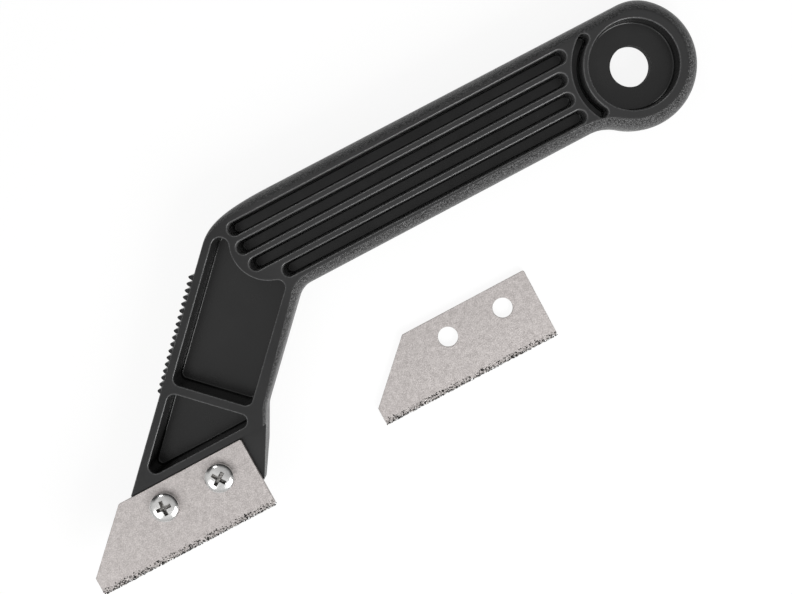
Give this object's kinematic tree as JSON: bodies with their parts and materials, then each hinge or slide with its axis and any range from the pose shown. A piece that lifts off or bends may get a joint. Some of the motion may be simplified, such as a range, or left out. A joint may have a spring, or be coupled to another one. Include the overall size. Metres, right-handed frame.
{
  "type": "grout scraper",
  "caption": "Hand scraper for grout joints: cranked cored plastic handle with a hanging ring, a grit-edged steel blade screwed to its nose, and a loose spare blade.",
  "frame": {"origin": "on the handle's flat back, halfway between the outer corner of the elbow and the centre of the hanging ring", "axes": "+X along the grip to the hanging ring, +Y across the grip away from the blade, +Z from the flat back up to the cored front"},
  "size_m": [0.2059, 0.0763, 0.0174],
  "materials": {
    "black_plastic": "satin moulded black, grained on the rounded outer sides",
    "blade_steel": "satin sheet steel",
    "carbide_grit": "rough brazed carbide grit",
    "plated_steel": "bright plated steel"
  },
  "bodies": {
    "tool": {"handle": "black_plastic", "rear_nut": "plated_steel", "front_nut": "plated_steel"},
    "blade": {"blade_plate": "blade_steel", "blade_grit": "carbide_grit"},
    "rear_screw_body": {"rear_screw": "plated_steel"},
    "front_screw_body": {"front_screw": "plated_steel"},
    "spare_blade": {"spare_blade_plate": "blade_steel", "spare_blade_grit": "carbide_grit"}
  },
  "joints": [
    {"name": "blade_lift", "type": "slide", "parent": "tool", "child": "blade", "axis": [0, 0, 1], "range_m": [0, 0.025]},
    {"name": "rear_screw_turn", "type": "hinge", "parent": "blade", "child": "rear_screw_body", "pos_m": [-0.08832, -0.04836, 0.0151], "axis": [0, 0, 1], "continuous": true},
    {"name": "front_screw_turn", "type": "hinge", "parent": "blade", "child": "front_screw_body", "pos_m": [-0.10507, -0.04858, 0.0151], "axis": [0, 0, 1], "continuous": true},
    {"name": "spare_blade_lift", "type": "slide", "parent": "tool", "child": "spare_blade", "axis": [0, 0, 1], "range_m": [0, 0.025]}
  ]
}
